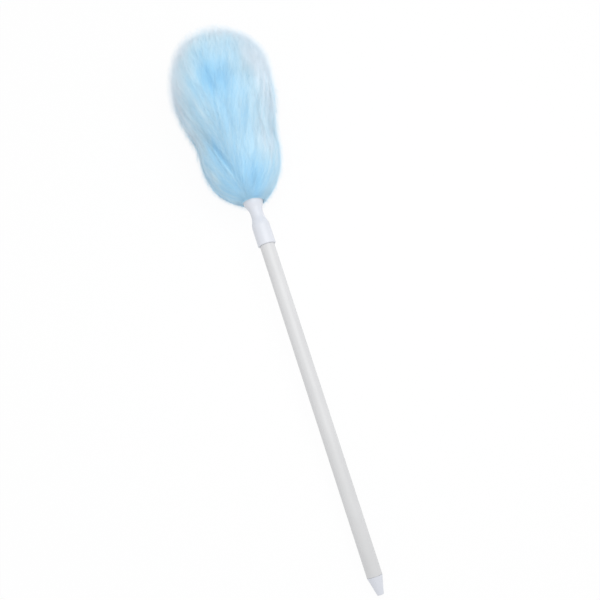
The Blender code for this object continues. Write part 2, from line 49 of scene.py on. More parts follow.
tube_bottom, tube_top = 0.0253, 0.5240
sharp_corner = math.radians(32)

# Every round piece is turned about the pole's own axis, which rises from the tip's flat end, at
# the origin, to the head. Angles go from the side that faces the table towards +Y.
pole_direction = np.array(frame["joints"][0]["axis"])
table_side = np.array([pole_direction[2], 0.0, -pole_direction[0]])
pole_rise = math.atan2(pole_direction[2], pole_direction[0])


def on_pole(height, across, sideways):
    """World points: height times the pole's direction, plus across times the table side, plus
    sideways times +Y."""
    shape = np.broadcast_shapes(np.shape(height), np.shape(across), np.shape(sideways))
    height, across, sideways = (
        np.broadcast_to(part, shape)[..., None] for part in (height, across, sideways)
    )
    return height * pole_direction + across * table_side + sideways * np.array([0.0, 1.0, 0.0])


def put_in_scene(name, data):
    """An object of a mesh, a lamp or a lens, in the scene."""
    placed = bpy.data.objects.new(name, data)
    bpy.context.scene.collection.objects.link(placed)
    return placed


def piece_from(name, points, faces, body, material, stands_for):
    """A piece of the duster from its points and faces, smooth up to its corners."""
    mesh = bpy.data.meshes.new(name)
    mesh.from_pydata(points.reshape(-1, 3).tolist(), [], faces)
    mesh.shade_smooth()
    mesh.set_sharp_from_angle(angle=sharp_corner)
    mesh.materials.append(material)
    piece = put_in_scene(name, mesh)
    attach(piece, body)
    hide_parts(*stands_for)
    return piece


def angles_round(columns):
    """Even angles of a full turn, from the side that faces the table."""
    return np.arange(columns) * 2 * math.pi / columns


def turned_faces(rows, columns, closed):
    """Faces of a grid of rows round the axis: each corner with its neighbour round the row and the
    two above them. The last row meets the first where the profile is closed."""
    count = rows if closed else rows - 1
    row, column = np.meshgrid(np.arange(count), np.arange(columns), indexing="ij")
    above, beside = (row + 1) % rows, (column + 1) % columns
    corners = [row * columns + column, row * columns + beside, above * columns + beside]
    corners.append(above * columns + column)
    return np.stack(corners, axis=-1).reshape(-1, 4).tolist()


def end_fans(rows, columns):
    """Triangles that close both ends of such a grid. The two points that come after its rows close
    the first row and the last one, in that order."""
    near = np.arange(columns)
    beside = (near + 1) % columns
    after, last = rows * columns, (rows - 1) * columns
    bottom = np.stack([beside, near, np.full(columns, after)], axis=1)
    top = np.stack([near + last, beside + last, np.full(columns, after + 1)], axis=1)
    return bottom.tolist() + top.tolist()


def turned(name, profile, body, material, stands_for, columns=144):
    """A round piece: the point at (radius, height, angle) is height along the pole's axis, radius
    times the angle's cosine towards the table and radius times its sine towards +Y. The profile
    goes up the outside. One that starts on the axis ends there and is closed by two fans, and any
    other is closed on itself."""
    profile = np.array(profile)
    closed = profile[0, 0] > 0
    ring = profile if closed else profile[1:-1]
    angle = angles_round(columns)
    radius, height = ring[:, :1], ring[:, 1:]
    points = on_pole(height, radius * np.cos(angle), radius * np.sin(angle)).reshape(-1, 3)
    faces = turned_faces(len(ring), columns, closed)
    if not closed:
        points = np.vstack([points, on_pole(profile[[0, -1], 1], 0.0, 0.0)])
        faces += end_fans(len(ring), columns)
    return piece_from(name, points, faces, body, material, stands_for)


def tube_profile(radius, bore, bottom, top):
    """The profile of a plain tube with square ends: up the outside and down the bore."""
    return [(radius, bottom), (radius, top), (bore, top), (bore, bottom)]


def eased_corners(profile, radius, closed=True, steps=5, reach=0.4):
    """A profile whose corners are rounded: each corner becomes a curve of second degree between
    points that lie a radius away on its two sides, or reach times the side where that is less. One
    more point lies beside each end of the curve."""
    profile = np.array(profile, float)
    ways = np.stack([np.roll(profile, 1, axis=0), np.roll(profile, -1, axis=0)]) - profile
    far = np.linalg.norm(ways, axis=2, keepdims=True)
    back, ahead = ways / far * np.minimum(radius, reach * far)
    start, end = profile + back, profile + ahead
    t = np.linspace(0, 1, steps + 1)[:, None, None]
    curve = (1 - t) ** 2 * start + 2 * t * (1 - t) * profile + t**2 * end
    curve = np.concatenate([[start + back * reach], curve, [end + ahead * reach]])
    curve = curve.transpose(1, 0, 2)
    if closed:
        return curve.reshape(-1, 2)
    return np.vstack([profile[:1], curve[1:-1].reshape(-1, 2), profile[-1:]])


def node_in(tree, kind, *first, settings=None, **named):
    """A shader node with its settings, and with the values or links of its first inputs, in their
    order, and of its named inputs."""
    node = tree.nodes.new(kind)
    for key, value in (settings or {}).items():
        setattr(node, key, value)
    inputs = list(zip(node.inputs, first))
    inputs += [(node.inputs[key.replace("_", " ")], value) for key, value in named.items()]
    for socket, value in inputs:
        if isinstance(value, bpy.types.NodeSocket):
            tree.links.new(value, socket)
        else:
            socket.default_value = value
    return node


def finish_named(name, metallic=0.0, **fixed):
    """A new material: its tree, its shader with fixed values, and coordinates along the pole."""
    material = bpy.data.materials.new(name)
    material.use_nodes = True
    tree = material.node_tree
    shader = tree.nodes["Principled BSDF"]
    shader.inputs["Metallic"].default_value = metallic
    for key, value in fixed.items():
        shader.inputs[key.replace("_", " ")].default_value = value
    place = node_in(tree, "ShaderNodeTexCoord").outputs["Object"]
    along = node_in(tree, "ShaderNodeMapping", Vector=place, Rotation=(0, pole_rise, 0))
    return material, tree, shader, along.outputs["Vector"]


def ramp_of(tree, factor, stops):
    """A colour ramp over a factor, from (position, colour) stops."""
    node = node_in(tree, "ShaderNodeValToRGB", Fac=factor)
    ramp = node.color_ramp
    while len(ramp.elements) < len(stops):
        ramp.elements.new(0.5)
    for element, (position, colour) in zip(ramp.elements, stops):
        element.position = position
        element.color = (*colour, 1)
    return node.outputs["Color"]


def stretched_noise(tree, along, stretch, scale, detail=3.0, roughness=0.55):
    """Noise that is stretched along the pole, across it or neither."""
    vector = node_in(tree, "ShaderNodeMapping", Vector=along, Scale=stretch).outputs["Vector"]
    node = node_in(
        tree, "ShaderNodeTexNoise", Vector=vector, Scale=scale, Detail=detail, Roughness=roughness
    )
    return node.outputs["Fac"]


def wire_up(tree, shader, colour, rough_factor, rough_range, height, depth, strength):
    """Joins a colour, a roughness between two values, and a bump of a real depth to a shader."""
    rough = node_in(
        tree, "ShaderNodeMapRange", Value=rough_factor, To_Min=rough_range[0], To_Max=rough_range[1]
    )
    bump = node_in(tree, "ShaderNodeBump", Height=height, Distance=depth, Strength=strength)
    tree.links.new(colour, shader.inputs["Base Color"])
    tree.links.new(rough.outputs["Result"], shader.inputs["Roughness"])
    tree.links.new(bump.outputs["Normal"], shader.inputs["Normal"])


tone_stops = (0.30, 0.70)


def two_toned(name, tones, broad, fine, rough_range, depth, strength, **fixed):
    """A finish whose colour and roughness go between two values with broad noise, and whose relief
    is fine noise."""
    material, tree, shader, along = finish_named(name, **fixed)
    clouds = stretched_noise(tree, along, **broad)
    colour = ramp_of(tree, clouds, list(zip(tone_stops, tones)))
    relief = stretched_noise(tree, along, **fine)
    wire_up(tree, shader, colour, clouds, rough_range, relief, depth, strength)
    return material


white_paint = two_toned(
    "baked_white_paint",
    tones=[(0.640, 0.643, 0.652), (0.680, 0.683, 0.691)],
    broad={"stretch": (0.35, 1, 1), "scale": 38.0},
    fine={"stretch": (1, 1, 1), "scale": 1100.0, "detail": 1.5},
    rough_range=(0.34, 0.46),
    depth=0.00006,
    strength=0.6,
    Coat_Weight=0.15,
    Coat_Roughness=0.25,
)
turned(
    "painted_tube",
    eased_corners(tube_profile(tube_radius, tube_bore, tube_bottom, tube_top), tube_edge),
    "handle",
    white_paint,
    ["outer_tube"],
)

# Tip: a pale moulded plug pushed into the tube's lower end. Outside it is a blunt cone with a
# small flat end, and inside it is a cored spigot.
tip_length, tip_end_radius, tip_edge, tip_corner = 0.0250, 0.0046, 0.0005, 0.0006
spigot_radius, spigot_top = 0.0101, 0.0550
tip_core_radius, tip_core_bottom = 0.0070, 0.0300

pale_plastic = two_toned(
    "pale_moulded_plastic",
    tones=[(0.700, 0.722, 0.785), (0.736, 0.758, 0.817)],
    broad={"stretch": (0.5, 1, 1), "scale": 55.0},
    fine={"stretch": (1, 1, 1), "scale": 1600.0, "detail": 2.0},
    rough_range=(0.32, 0.44),
    depth=0.00004,
    strength=0.5,
    Coat_Weight=0.10,
)
tip_profile = [
    (0.0, 0.0),
    (tip_end_radius - tip_edge, 0.0),
    (tip_end_radius, tip_edge),
    (tube_radius, tip_length),
    (spigot_radius, tip_length),
    (spigot_radius, spigot_top),
    (tip_core_radius, spigot_top),
    (tip_core_radius, tip_core_bottom),
    (0.0, tip_core_bottom),
]
turned(
    "tip_cone",
    eased_corners(tip_profile, tip_corner, closed=False),
    "handle",
    pale_plastic,
    ["tip_plug"],
)

# Guide bush: a grey moulded bush in the tube's upper end, in which the inner tube slides. The
# plug and the cone nut of the twist lock are of the same plastic.
grey_plastic = two_toned(
    "grey_moulded_plastic",
    tones=[(0.335, 0.355, 0.395), (0.385, 0.405, 0.445)],
    broad={"stretch": (0.5, 1, 1), "scale": 90.0},
    fine={"stretch": (1, 1, 1), "scale": 1400.0, "detail": 2.0},
    rough_range=(0.42, 0.56),
    depth=0.00004,
    strength=0.6,
)


def dress(node, material):
    """Gives a CAD piece a finish and leaves its shape and place as they are."""
    mesh = frame["nodes"][node].data
    mesh.materials.clear()
    mesh.materials.append(material)


for node in ("guide_bush", "lock_plug", "cone_nut"):
    dress(node, grey_plastic)

# Twist lock: a slotted sleeve that a cone nut spreads in the tube, on a steel spindle that is
# pinned in the inner tube's plug. The steel is drawn and turned, with fine lines round it.
dress("expander_sleeve", pale_plastic)

bright_steel = two_toned(
    "turned_bright_steel",
    tones=[(0.510, 0.515, 0.525), (0.600, 0.605, 0.610)],
    broad={"stretch": (1, 1, 1), "scale": 160.0},
    fine={"stretch": (1, 0.12, 0.12), "scale": 2600.0, "detail": 2.0},
    rough_range=(0.24, 0.38),
    depth=0.00002,
    strength=0.5,
    metallic=1.0,
)
for node in ("cross_pin", "lock_spindle", "thrust_washer", "stop_washer", "stop_nut"):
    dress(node, bright_steel)

# Inner tube: a bright drawn steel tube of 16 mm that slides out of the handle and carries the
# head. It has a hole for the lock's cross pin and one for the collar's screw.
inner_radius, inner_bore = 0.0080, 0.0074
inner_bottom, inner_top = 0.1663, 0.5697
cross_pin_height, cross_pin_hole, cross_pin_reach = 0.1780, 0.00155, 0.0095
screw_height, screw_hole, screw_end, screw_way_in = 0.5400, 0.0017, 0.0017, 0.0173

drawn_steel = two_toned(
    "drawn_tube_steel",
    tones=[(0.530, 0.535, 0.545), (0.610, 0.612, 0.615)],
    broad={"stretch": (0.3, 1, 1), "scale": 60.0},
    fine={"stretch": (0.02, 1, 1), "scale": 2200.0, "detail": 2.0},
    rough_range=(0.22, 0.34),
    depth=0.00002,
    strength=0.5,
    metallic=1.0,
)


def drill(piece, height, radius, start, end, across, columns=32):
    """Bores a hole, whose wall's points are radius times cosine and sine about its middle line,
    from start to end along the table side, or along +Y where across is true."""
    angle = angles_round(columns)
    reach = np.array([[start], [end]])
    up, side = radius * np.cos(angle) + height, radius * np.sin(angle)
    points = on_pole(up, -side, reach) if across else on_pole(up, reach, side)
    faces = turned_faces(2, columns, False)
    faces += [list(range(columns))[::-1], list(range(columns, 2 * columns))]
    mesh = bpy.data.meshes.new("drill")
    mesh.from_pydata(points.reshape(-1, 3).tolist(), [], faces)
    tool = put_in_scene("drill", mesh)
    cut = piece.modifiers.new("Drill", "BOOLEAN")
    cut.solver = "EXACT"
    cut.object = tool
    graph = bpy.context.evaluated_depsgraph_get()
    bored = bpy.data.meshes.new_from_object(piece.evaluated_get(graph))
    piece.modifiers.clear()
    piece.data = bored
    bpy.data.objects.remove(tool)


sliding_tube = turned(
    "sliding_tube",
    eased_corners(tube_profile(inner_radius, inner_bore, inner_bottom, inner_top), tube_edge),
    "extension",
    drawn_steel,
    ["inner_tube"],
    columns=112,
)
drill(sliding_tube, cross_pin_height, cross_pin_hole, -cross_pin_reach, cross_pin_reach, True)
drill(sliding_tube, screw_height, screw_hole, screw_end, screw_way_in, False)

# Collar: one piece of lavender-white plastic, turned to a skirt over the tube's upper end, a
# shoulder, a narrow waist and a flare that backs the wool. A screw goes in from below.
skirt_radius, skirt_rim = 0.0135, 0.0012
skirt_bore, skirt_bottom, skirt_recess_top = 0.0113, 0.5148, 0.5276
shoulder_bottom, waist_bottom, flare_bottom, collar_top = 0.5440, 0.5620, 0.5680, 0.5880
waist_radius, flare_radius, flare_edge = 0.00975, 0.0153, 0.0007
flare_bevel = 0.3 * flare_edge
socket_radius, socket_top, rod_bore = 0.0083, 0.5700, 0.0074
screw_head_hole, screw_head_seat = 0.0030, 0.0112

collar_plastic = two_toned(
    "lavender_white_plastic",
    tones=[(0.665, 0.688, 0.742), (0.699, 0.718, 0.771)],
    broad={"stretch": (0.6, 1, 1), "scale": 48.0},
    fine={"stretch": (1, 1, 1), "scale": 1500.0, "detail": 2.0},
    rough_range=(0.30, 0.40),
    depth=0.00004,
    strength=0.4,
    Coat_Weight=0.15,
)


def soft_step(start, end, bottom, top, count=22):
    """Points of a soft S curve: the radius goes from start to end with half a cosine wave."""
    share = np.linspace(0, 1, count)
    radius = start + (end - start) * (1 - np.cos(math.pi * share)) / 2
    return np.stack([radius, bottom + (top - bottom) * share], axis=1)


quarter = np.linspace(0, math.pi / 2, num=8)
rim_radius = skirt_radius - skirt_rim + skirt_rim * np.sin(quarter)
rim_height = skirt_bottom + skirt_rim * (1 - np.cos(quarter))
collar_profile = np.vstack(
    [
        np.stack([rim_radius, rim_height], axis=1),
        soft_step(skirt_radius, waist_radius, shoulder_bottom, waist_bottom),
        soft_step(waist_radius, flare_radius, flare_bottom, collar_top - flare_edge),
        [
            (flare_radius - flare_bevel, collar_top - flare_bevel),
            (flare_radius - flare_edge, collar_top),
            (rod_bore, collar_top),
            (rod_bore, socket_top),
            (socket_radius, socket_top),
            (socket_radius, skirt_recess_top),
            (skirt_bore, skirt_recess_top),
            (skirt_bore, skirt_bottom),
        ],
    ]
)
collar = turned(
    "turned_collar",
    collar_profile,
    "extension",
    collar_plastic,
    ["head_collar"],
)
drill(collar, screw_height, screw_hole, screw_end, screw_way_in, False)
drill(collar, screw_height, screw_head_hole, screw_head_seat, screw_way_in, False)
dress("collar_screw", bright_steel)

# Rod: a straight-grained pale wooden dowel from inside the inner tube, where the collar's screw
# holds it, nearly to the end of the wool.
pale_wood, tree, shader, along = finish_named("straight_grained_pale_wood")
grain = stretched_noise(tree, along, stretch=(0.04, 1, 1), scale=420.0, detail=5.0)
wood_tones = [(0.430, 0.270, 0.130), (0.560, 0.380, 0.200), (0.640, 0.460, 0.265)]
wood = ramp_of(tree, grain, list(zip((0.25, 0.55, 0.80), wood_tones)))
pores = stretched_noise(tree, along, stretch=(0.02, 1, 1), scale=1500.0)
wire_up(
    tree, shader, wood, grain, rough_range=(0.52, 0.70), height=pores, depth=0.0001, strength=0.7
)
dress("core_rod", pale_wood)

# Backing: a strip of hide wound round the rod, with a round patch on its end, both tacked down.
# The wool grows from them and hides them.
hide, tree, shader, along = finish_named("tanned_hide")
patches = stretched_noise(tree, along, stretch=(1, 1, 1), scale=70.0)
skin_tones = [(0.620, 0.570, 0.460), (0.740, 0.700, 0.600)]
skin = ramp_of(tree, patches, list(zip(tone_stops, skin_tones)))
cells = node_in(tree, "ShaderNodeTexVoronoi", Vector=along, Scale=900.0).outputs["Distance"]
wire_up(
    tree, shader, skin, patches, rough_range=(0.70, 0.88), height=cells, depth=0.00015, strength=0.8
)
for node in ("pile_backing", "end_patch"):
    dress(node, hide)
for node in ("strip_tack", "end_tack"):
    dress(node, bright_steel)

# Wool undercoat: the dense inner pile, dyed pale blue, in soft locks with creases between them. Its
# colour is darkened a little all over as painted shade of the locks that lie on it. It grows from the
# hide and makes the body of the head, which is pressed flat where it rests.
wool_bottom, wool_length, wool_radius = 0.5805, 0.2800, 0.0750
wool_bore, rod_recess_top = 0.0092, 0.8371
flare_recess, flare_recess_bottom, flare_recess_top = 0.0156, 0.5862, 0.5883
flare_gap, flare_gap_rise = 0.0007, 0.001
wool_lean, lock_count, lock_depth, lock_twist = 0.0120, 8, 0.0030, math.radians(50)
foot_lift, foot_slant, foot_share = 0.0022, 0.0020, 0.12
rest_radius, rest_height = 0.0730, 0.789915
rest_slope = (rest_radius - tube_radius) / (rest_height - tip_length)
core_low, core_high = 0.5980, 0.8265
pile_inset, table_gap = 0.0022, 0.0002
left_side, right_side = math.radians(94), math.radians(269)
outline_shares = np.array(
    [
        (0.000, 0.224),
        (0.020, 0.320),
        (0.050, 0.450),
        (0.090, 0.570),
        (0.140, 0.685),
        (0.200, 0.760),
        (0.270, 0.808),
        (0.350, 0.830),
        (0.440, 0.900),
        (0.530, 0.970),
        (0.620, 1.000),
        (0.700, 1.000),
        (0.770, 0.985),
        (0.840, 0.925),
        (0.900, 0.795),
        (0.950, 0.595),
        (0.985, 0.350),
        (1.000, 0.000),
    ]
)


def eased(share):
    """A share that starts and ends gently: its square times 3 less twice itself."""
    return share * share * (3 - 2 * share)


def rising(value, start, width):
    """0 up to start, then how far the value is past it as a share of the width, and 1 after that."""
    return np.clip((value - start) / width, 0, 1)


def folded(share):
    """The share of the wool's length at which a point lies that may have gone over the end."""
    return np.minimum(share, 2 - share)


def even_curve(points, count):
    """Even points along a smooth curve: between two points, a curve of third degree with the
    slopes that the neighbours give."""
    steps = np.hypot(*np.diff(points, axis=0).T)
    reach = np.concatenate([[0], np.cumsum(steps)])
    rows = np.linspace(0, reach[-1], count)
    slopes = np.gradient(points, reach, axis=0)
    span = np.clip(np.searchsorted(reach, rows, side="right") - 1, 0, len(steps) - 1)
    step = steps[span][:, None]
    share = (rows - reach[span])[:, None] / step
    ahead = eased(share)
    curve = points[span] * (1 - ahead) + points[span + 1] * ahead
    curve += slopes[span] * share * (1 - share) ** 2 * step
    return curve + slopes[span + 1] * share * share * (share - 1) * step


outline_table = even_curve(outline_shares * (wool_length, wool_radius), count=600)
outline_share = np.linspace(0, 1, len(outline_table))
outline_reach = np.hypot(*np.diff(outline_table, axis=0).T).sum()


def outline_at(share):
    """Height and radius of the wool's outline at a share of its length from the collar."""
    height = wool_bottom + np.interp(share, outline_share, outline_table[:, 0])
    return height, np.maximum(np.interp(share, outline_share, outline_table[:, 1]), 0)


def in_wool(share, angle, depth, press=0.0):
    """A point in the wool: depth times the way from the core, which lies on the axis, to the
    outline. The locks' grooves make it shallower, the wool's foot starts further up the pole away
    from the table and on +Y, and the head leans to -Y with its height. A point stays outside the
    collar's flare, and near the table it is pressed flat. A share over 1 goes over the end and
    down the far side."""
    over = share > 1
    share = np.where(over, 2 - share, share)
    angle = np.where(over, angle + math.pi, angle)
    height, radius = outline_at(np.clip(share, 0, 1))
    lift = foot_lift * (1 - np.cos(angle)) + foot_slant * np.sin(angle)
    height = height + lift * np.clip(1 - share / foot_share, 0, 1)
    core = np.clip(height, core_low, core_high)
    height = core + (height - core) * depth
    rise = rising(height, wool_bottom, wool_length)
    groove = (1 - np.abs(np.cos(lock_count / 2 * (angle + lock_twist * rise)))) ** 2
    radius = (radius - lock_depth * groove * np.sin(math.pi * rise)) * depth
    beside_flare = height < collar_top + flare_gap_rise
    radius = np.where(beside_flare, np.maximum(radius, flare_radius + flare_gap), radius)
    table = tube_radius + (height - tip_length) * rest_slope - press
    across = np.minimum(radius * np.cos(angle), table)
    return on_pole(height, across, radius * np.sin(angle) - wool_lean * rise)


def wrapped(angle):
    """The same angle, brought between minus and plus half a turn."""
    return np.arctan2(np.sin(angle), np.cos(angle))


def bell(aside, along_it):
    """1 in the middle and falling off both ways: e to the minus sum of the two squares."""
    return np.exp(-(aside**2) - along_it**2)


meeting_angle, meeting_width, meeting_drift = math.radians(167), math.radians(15), math.radians(20)
narrowest_drift = 0.035


def drift_at(angle):
    """How far the locks lean from the pole's direction on their way down: up to 20 degrees, from
    both sides towards the line where they meet, by the hyperbolic tangent of the angle from it,
    fading to none on the far side with the cosine of half that angle."""
    away = wrapped(angle - meeting_angle)
    return -meeting_drift * np.tanh(away / meeting_width) * np.cos(away / 2)


def lock_at(share, angle, steps=10):
    """The angle at which the lock through a point crosses the middle of the wool's length, found by
    following its drift in equal steps along the outline."""
    step = (share - 0.5) * outline_reach / steps
    for number in range(steps):
        here = share + (0.5 - share) * (number + 0.5) / steps
        around = np.maximum(outline_at(here)[1], narrowest_drift)
        angle = angle + step * np.tan(drift_at(angle)) / around
    return angle


def random_waves(rng, low, high, count, slant):
    """Waves round the head: the crests of each, between low and high, its slant, start and size,
    which goes down with the root of the crests. The sizes give a sum whose spread is 1."""
    crests = rng.integers(low, high + 1, count)
    size = crests**-0.5 / math.sqrt((1 / crests).sum() / 2)
    return crests, rng.normal(0, slant, count), rng.uniform(0, 2 * math.pi, count), size


def wave_sum(waves, lock, share):
    """The sum of size times the cosine of crests times the lock's angle, plus slant times the
    share of the length, plus the start."""
    total = 0.0
    for crests, slant, start, size in zip(*waves):
        total = total + size * np.cos(crests * lock + slant * share + start)
    return total


wave_rng = np.random.default_rng(seed=3)
swell_waves = random_waves(wave_rng, low=2, high=7, count=12, slant=8.0)
bend_waves = random_waves(wave_rng, low=2, high=9, count=10, slant=4.5)
streak_waves = random_waves(wave_rng, low=26, high=96, count=28, slant=10.0)
tint_waves = random_waves(wave_rng, low=12, high=34, count=16, slant=7.0)

parting_height, parting_hollow = 0.7640, 0.0025
parting_share = np.interp(parting_height - wool_bottom, outline_table[:, 0], outline_share)
patch_angle, patch_width = math.radians(173), math.radians(24)
patch_share, patch_length = 0.585, 0.075
crease_height, crease_angle, crease_slope = 0.6530, math.radians(153), -6.4
crease_width, crease_length, crease_depth = math.radians(4), 0.030, 0.0035
swell_height, furrow_depth, streak_height, end_drop = 0.0012, 0.0014, 0.0003, 0.0044
furrow_waves, furrow_bend, furrow_sharpness, furrow_share, left_furrow_share = 15, 1.3, 2.5, 0.5, 0.3
left_bumps = [
    (0.00, 0.0), (0.06, 0.0010), (0.15, 0.0018), (0.24, 0.0028), (0.32, 0.0004), (0.39, -0.0024),
    (0.46, 0.0004), (0.53, 0.0010), (0.60, 0.0028), (0.68, -0.0012), (0.75, -0.0020), (0.82, 0.0014),
    (0.88, 0.0024), (0.94, 0.0008), (1.00, 0.0),
]
right_bumps = [
    (0.00, 0.0), (0.15, 0.0006), (0.24, 0.0012), (0.31, 0.0018), (0.39, 0.0008), (0.47, 0.0014),
    (0.55, 0.0036), (0.62, 0.0038), (0.70, 0.0040), (0.78, 0.0020), (0.88, 0.0004), (1.00, 0.0),
]
left_table = even_curve(np.array(left_bumps), count=200)
right_table = even_curve(np.array(right_bumps), count=200)


def parting_at(near, angle):
    """How near a point is to the middle of the parting, from 0 to 1."""
    return bell(wrapped(angle - patch_angle) / patch_width, (near - patch_share) / patch_length)


def crease_at(near, angle):
    """How near a point is to the one deep crease that runs slanting on the left: 1 in its middle,
    falling off on both sides and towards its ends."""
    off_height = outline_at(near)[0] - crease_height
    aside = wrapped(angle - crease_angle - crease_slope * off_height)
    return bell(aside / crease_width, off_height / crease_length)


def bumps_at(near, angle):
    """The cloudy bumps of the head's two sides, up to 4 mm, which fade with the square of the
    cosine of the angle from the side, less a drop of 4.4 mm at the end and a hollow of 2.5 mm in
    the parting."""
    left = np.interp(near, *left_table.T) * np.cos(angle - left_side).clip(0, 1) ** 2
    right = np.interp(near, *right_table.T) * np.cos(angle - right_side).clip(0, 1) ** 2
    end = rising(near, start=0.86, width=0.14)
    return left + right - end_drop * end - parting_hollow * parting_at(near, angle)


def relief_at(share, angle):
    """How far the dense pile stands out: swells of 1.2 mm, less the furrows between some 30 locks,
    about a millimetre deep where the sine of 15 times the lock's angle plus a sum of waves is 0,
    and deepest on the left, plus fine streaks of 0.3 mm, the bumps of the sides and the one deep
    crease. The first three are weaker at the collar and at the end."""
    near = folded(share)
    lock = lock_at(near, angle)
    broad = wave_sum(swell_waves, lock, near)
    bent = furrow_waves * lock + furrow_bend * wave_sum(bend_waves, lock, near)
    furrow = (1 - np.abs(np.sin(bent))) ** furrow_sharpness
    leftward = (np.cos(angle - left_side) + 0.3).clip(0, 1)
    furrow = furrow * (furrow_share + left_furrow_share * leftward) * (1 - near**6)
    relief = swell_height * broad - furrow_depth * furrow * (1 + 0.5 * broad).clip(0.1, 1.6)
    relief = relief + streak_height * wave_sum(streak_waves, lock, near)
    relief = relief * (0.25 + 0.75 * np.sin(math.pi * near) ** 0.5)
    return relief + bumps_at(near, angle) - crease_depth * crease_at(near, angle)


def over_pile(share, angle, out, press=0.0, narrowest=0.028):
    """A point that stands out from the dense pile's surface, which is the wool's outline with the
    relief, some 2 mm in. The distance is turned into a depth by the outline's radius."""
    radius = np.maximum(outline_at(folded(share))[1], narrowest)
    depth = 1 + (out + relief_at(share, angle) - pile_inset) / radius
    return in_wool(share, angle, depth, press)


# How pale the wool is painted: everywhere, then what is added higher up, the painted rim light round
# the end and the painted light that lifts the shaded left, what the streaks add, with painted light
# and shade on the fine streaks, what the parting and the crease take away as painted shade, the
# parting also as a deeper blue, and the even blue that the underside and the end's middle are mixed
# towards, with its share.
base_pale, high_pale, end_rim_light, left_painted_light = 0.20, 0.20, 0.43, 0.08
streak_pale, left_streak_pale, fine_streak_light_and_shade = 0.02, 0.035, 0.05
parting_blue_and_shade, crease_painted_shade = 0.44, 0.30
hidden_pale, hidden_share = 0.40, 0.8

# Painted rim light along both sides: the side, the cosine of the angle from it where the band starts
# and the width over which it rises, and what it adds near the collar and, on top of that, higher up.
rim_light_bands = [
    (right_side, 0.45, 0.50, 0.32, 0.02),
    (right_side, -0.10, 0.45, 0.0, 0.17),
    (left_side, 0.72, 0.28, 0.12, 0.18),
    (left_side, 0.10, 0.45, 0.0, 0.12),
]

# Pale tufts: the share of the length and the angle at which each lies, its length and width, and
# what it adds in its middle.
pale_tufts = [
    (0.250, math.radians(216), 0.090, math.radians(30), 0.24),
    (0.660, math.radians(228), 0.060, math.radians(24), 0.12),
    (0.185, math.radians(129), 0.030, math.radians(11), 0.26),
]


def pale_tufts_at(near, angle):
    """What the pale tufts add: each its amount, falling off along the outline and round the head."""
    total = 0.0
    for share, middle, length, width, amount in pale_tufts:
        total = total + amount * bell(wrapped(angle - middle) / width, (near - share) / length)
    return total


def dye_and_light_at(share, angle):
    """How pale the wool is painted, from 0 for deep blue to 1 for lavender white: its dyed colour
    together with painted light and shade. It is deeper near the collar, darker in the crease as
    painted shade and most in the parting, which is a deeper blue with painted shade. It is lighter
    round the end and towards both sides as painted rim light, on the shaded left also as painted
    light, and in a few tufts. Pale and blue locks alternate by a sum of waves, most on the left. The
    underside and the end's middle keep an even blue."""
    near = folded(share)
    high = rising(near, start=0.10, width=0.50)
    end = rising(near, start=0.72, width=0.17)
    left = np.cos(angle - left_side)
    # Lighter round the end as painted rim light, and on the left as painted light on its shaded side.
    pale = base_pale + high_pale * high + end_rim_light * end + left_painted_light * (left + 0.2).clip(0, 1)
    # Painted rim light along both sides.
    for side, start, width, low, more in rim_light_bands:
        pale = pale + (low + more * high) * rising(np.cos(angle - side), start, width)
    streak = wave_sum(tint_waves, lock_at(near, angle), near)
    streak = streak * (1 - rising(near, start=0.70, width=0.20))
    pale = pale + (streak_pale + left_streak_pale * left.clip(0, 1)) * streak
    pale = pale + pale_tufts_at(near, angle)
    # The parting is a deeper blue with painted shade, and the crease is painted shade.
    pale = pale - parting_blue_and_shade * parting_at(near, angle) - crease_painted_shade * crease_at(near, angle)
    hidden = rising(np.cos(angle), start=-0.05, width=0.50)
    hidden = np.maximum(hidden, rising(near, start=0.88, width=0.10))
    return pale + (hidden_pale - pale) * hidden_share * hidden


dye_and_light_tones = [
    (0.0, (0.38, 0.72, 0.95)),
    (0.30, (0.50, 0.80, 0.98)),
    (0.65, (0.69, 0.89, 0.99)),
    (1.0, (0.86, 0.94, 1.00)),
]


def wool_finish(name, sheen, bright):
    """Wool whose colour runs from deep blue to lavender white, times bright, with the pale attribute
    of its points, which holds the dyed colour together with painted light and shade, and with broad
    clouds. A bright below 1 darkens it as painted shade. Fine noise roughens it."""
    material, tree, shader, along = finish_named(
        name,
        Sheen_Weight=sheen,
        Sheen_Roughness=0.5,
        Sheen_Tint=(0.90, 0.94, 1.0, 1),
        Specular_IOR_Level=0.15,
    )
    own = node_in(tree, "ShaderNodeAttribute", settings={"attribute_name": "pale"}).outputs["Fac"]
    clouds = stretched_noise(tree, along, stretch=(0.35, 1, 1), scale=26.0)
    cloud = node_in(
        tree, "ShaderNodeMapRange", Value=clouds, From_Min=0.2, From_Max=0.8, To_Min=-0.16, To_Max=0.16
    )
    cloud = cloud.outputs["Result"]
    whole = node_in(tree, "ShaderNodeMath", own, cloud, settings={"operation": "ADD"})
    stops = [(position, [bright * part for part in tone]) for position, tone in dye_and_light_tones]
    dye_and_light = ramp_of(tree, whole.outputs[0], stops)
    fuzz = stretched_noise(tree, along, stretch=(0.05, 1, 1), scale=1800.0, detail=2.0)
    wire_up(
        tree, shader, dye_and_light, fuzz, rough_range=(0.80, 0.95), height=fuzz, depth=0.00003, strength=0.4
    )
    return material


def give_paleness(mesh, values):
    """Writes how pale each point is into the mesh's pale attribute."""
    pale = mesh.attributes.new("pale", "FLOAT", "POINT")
    pale.data.foreach_set("value", values.astype(np.float32).ravel())


rows, columns = 296, 320
around = angles_round(columns)
share, angle = np.meshgrid(np.linspace(0, 1, rows + 1)[:-1], around, indexing="ij")
outside = over_pile(share, angle, 0.0, table_gap)
top = over_pile(np.array([1.0]), np.array([math.pi]), 0.0, table_gap)

